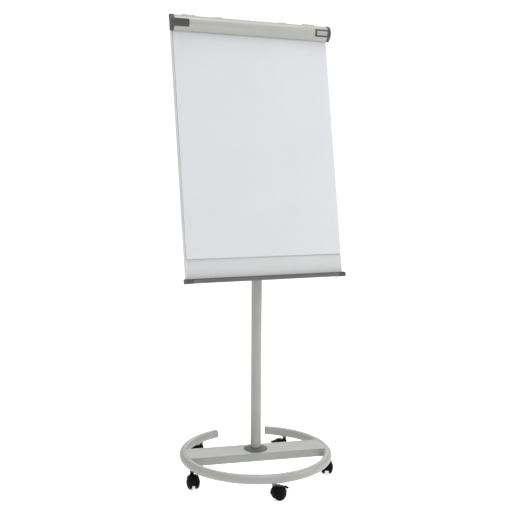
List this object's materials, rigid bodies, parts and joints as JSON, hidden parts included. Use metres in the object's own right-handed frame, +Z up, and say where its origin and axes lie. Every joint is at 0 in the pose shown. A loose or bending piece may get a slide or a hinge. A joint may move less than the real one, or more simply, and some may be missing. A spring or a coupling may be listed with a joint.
{
  "type": "flipchart easel",
  "caption": "Mobile flipchart easel: magnetic board with paper clamp bar and pen tray on a telescopic column over an open ring base with braked castors.",
  "frame": {"origin": "on the floor, under the axis of the column", "axes": "+Z up; -Y towards the viewer standing in front of the board; +X along the board's width, to the viewer's right"},
  "size_m": [0.716, 0.6566, 1.9367],
  "materials": {
    "grey_powder": "fine-textured powder coat, satin",
    "dark_plastic": "moulded, fine grain",
    "black_plastic": "moulded, semi-gloss",
    "castor_tread": "hard nylon, worn semi-gloss",
    "zinc_steel": "bright zinc plated",
    "face_steel": "lacquered white-grey sheet, satin",
    "honeycomb_core": "raw board",
    "back_aluminium": "thin embossed sheet, satin",
    "frame_aluminium": "silver anodised",
    "tray_grey": "dark grey lacquered aluminium",
    "cap_grey": "moulded, fine grain",
    "light_plastic": "moulded, satin",
    "grip_rubber": "soft rubber",
    "backing_board": "grey-brown board",
    "paper": "uncoated white paper"
  },
  "bodies": {
    "base": {"ring_tube": "grey_powder", "ring_end_plugs": "dark_plastic", "cross_beam": "grey_powder", "castor_sockets": "zinc_steel", "castor_stems": "zinc_steel", "column_tube": "grey_powder", "column_flange": "zinc_steel", "flange_bolts": "zinc_steel", "column_cover": "dark_plastic", "clamp_collar": "black_plastic", "guide_bush": "black_plastic"},
    "height_knob": {"height_screw": "zinc_steel", "height_knob": "black_plastic"},
    "mast": {"mast_tube": "grey_powder", "mast_glide": "black_plastic", "mast_plug": "zinc_steel"},
    "head": {"head_block": "dark_plastic"},
    "board": {"hinge_bracket": "grey_powder", "bracket_screws": "zinc_steel", "tilt_bolt": "zinc_steel", "face_sheet": "face_steel", "board_core": "honeycomb_core", "back_sheet": "back_aluminium", "side_frames": "frame_aluminium", "top_frame": "frame_aluminium", "pen_tray": "tray_grey", "tray_caps": "cap_grey", "hinge_blocks": "light_plastic", "hinge_pins": "zinc_steel", "hook_rail": "zinc_steel", "pad_backing": "backing_board", "paper_pad": "paper"},
    "tilt_knob": {"tilt_knob": "black_plastic"},
    "clamp_bar": {"clamp_bar": "frame_aluminium", "bar_cap_left": "cap_grey", "bar_cap_right": "cap_grey", "bar_lugs": "zinc_steel", "grip_strip": "grip_rubber"},
    "hook_left": {"hook_left": "light_plastic"},
    "hook_right": {"hook_right": "light_plastic"},
    "castor_1": {"castor_1_housing": "black_plastic", "castor_1_axle": "zinc_steel"},
    "castor_1_wheels": {"castor_1_wheels": "castor_tread"},
    "castor_1_brake": {"castor_1_brake": "black_plastic"},
    "castor_2": {"castor_2_housing": "black_plastic", "castor_2_axle": "zinc_steel"},
    "castor_2_wheels": {"castor_2_wheels": "castor_tread"},
    "castor_2_brake": {"castor_2_brake": "black_plastic"},
    "castor_3": {"castor_3_housing": "black_plastic", "castor_3_axle": "zinc_steel"},
    "castor_3_wheels": {"castor_3_wheels": "castor_tread"},
    "castor_3_brake": {"castor_3_brake": "black_plastic"},
    "castor_4": {"castor_4_housing": "black_plastic", "castor_4_axle": "zinc_steel"},
    "castor_4_wheels": {"castor_4_wheels": "castor_tread"},
    "castor_4_brake": {"castor_4_brake": "black_plastic"},
    "castor_5": {"castor_5_housing": "black_plastic", "castor_5_axle": "zinc_steel"},
    "castor_5_wheels": {"castor_5_wheels": "castor_tread"},
    "castor_5_brake": {"castor_5_brake": "black_plastic"}
  },
  "joints": [
    {"name": "height_slide", "type": "slide", "parent": "base", "child": "mast", "axis": [0, 0, 1], "range_m": [-0.23, 0.075]},
    {"name": "head_swivel", "type": "hinge", "parent": "mast", "child": "head", "pos_m": [0, 0, 1.1483], "axis": [0, 0, 1], "range_deg": [-80, 80]},
    {"name": "board_tilt", "type": "hinge", "parent": "head", "child": "board", "pos_m": [0, 0, 1.19], "axis": [-1, 0, 0], "range_deg": [-10.5, 15]},
    {"name": "clamp_bar_lift", "type": "hinge", "parent": "board", "child": "clamp_bar", "pos_m": [0, 0.08516, 1.93034], "axis": [-1, 0, 0], "range_deg": [0, 75]},
    {"name": "hook_left_slide", "type": "slide", "parent": "board", "child": "hook_left", "axis": [1, 0, 0], "range_m": [-0.06, 0.06]},
    {"name": "hook_right_slide", "type": "slide", "parent": "board", "child": "hook_right", "axis": [1, 0, 0], "range_m": [-0.06, 0.06]},
    {"name": "height_knob_turn", "type": "hinge", "parent": "base", "child": "height_knob", "pos_m": [0, 0, 0.886], "axis": [0.1604, 0.9871, 0], "range_deg": [0, 360]},
    {"name": "tilt_knob_turn", "type": "hinge", "parent": "board", "child": "tilt_knob", "pos_m": [0, 0, 1.19], "axis": [1, 0, 0], "range_deg": [0, 360]},
    {"name": "castor_1_swivel", "type": "hinge", "parent": "base", "child": "castor_1", "pos_m": [-0.30638, -0.04727, 0.063], "axis": [0, 0, 1], "continuous": true},
    {"name": "castor_1_roll", "type": "hinge", "parent": "castor_1", "child": "castor_1_wheels", "pos_m": [-0.30829, -0.06918, 0.028], "axis": [0.9962, -0.0872, 0], "continuous": true},
    {"name": "castor_1_brake_press", "type": "hinge", "parent": "castor_1", "child": "castor_1_brake", "pos_m": [-0.31017, -0.09058, 0.05104], "axis": [0.9962, -0.0872, 0], "range_deg": [0, 18]},
    {"name": "castor_2_swivel", "type": "hinge", "parent": "base", "child": "castor_2", "pos_m": [-0.04972, -0.30599, 0.063], "axis": [0, 0, 1], "continuous": true},
    {"name": "castor_2_roll", "type": "hinge", "parent": "castor_2", "child": "castor_2_wheels", "pos_m": [-0.02794, -0.30292, 0.028], "axis": [-0.1392, 0.9903, 0], "continuous": true},
    {"name": "castor_2_brake_press", "type": "hinge", "parent": "castor_2", "child": "castor_2_brake", "pos_m": [-0.00666, -0.29994, 0.05104], "axis": [-0.1392, 0.9903, 0], "range_deg": [0, 18]},
    {"name": "castor_3_swivel", "type": "hinge", "parent": "base", "child": "castor_3", "pos_m": [0.27564, -0.14184, 0.063], "axis": [0, 0, 1], "continuous": true},
    {"name": "castor_3_roll", "type": "hinge", "parent": "castor_3", "child": "castor_3_wheels", "pos_m": [0.28424, -0.12159, 0.028], "axis": [-0.9205, 0.3907, 0], "continuous": true},
    {"name": "castor_3_brake_press", "type": "hinge", "parent": "castor_3", "child": "castor_3_brake", "pos_m": [0.29263, -0.10182, 0.05104], "axis": [-0.9205, 0.3907, 0], "range_deg": [0, 18]},
    {"name": "castor_4_swivel", "type": "hinge", "parent": "base", "child": "castor_4", "pos_m": [0.233, 0.20448, 0.063], "axis": [0, 0, 1], "continuous": true},
    {"name": "castor_4_roll", "type": "hinge", "parent": "castor_4", "child": "castor_4_wheels", "pos_m": [0.21175, 0.21017, 0.028], "axis": [-0.2588, -0.9659, 0], "continuous": true},
    {"name": "castor_4_brake_press", "type": "hinge", "parent": "castor_4", "child": "castor_4_brake", "pos_m": [0.191, 0.21573, 0.05104], "axis": [-0.2588, -0.9659, 0], "range_deg": [0, 18]},
    {"name": "castor_5_swivel", "type": "hinge", "parent": "base", "child": "castor_5", "pos_m": [-0.15626, 0.26773, 0.063], "axis": [0, 0, 1], "continuous": true},
    {"name": "castor_5_roll", "type": "hinge", "parent": "castor_5", "child": "castor_5_wheels", "pos_m": [-0.17694, 0.27526, 0.028], "axis": [-0.342, -0.9397, 0], "continuous": true},
    {"name": "castor_5_brake_press", "type": "hinge", "parent": "castor_5", "child": "castor_5_brake", "pos_m": [-0.19712, 0.28261, 0.05104], "axis": [-0.342, -0.9397, 0], "range_deg": [0, 18]}
  ]
}
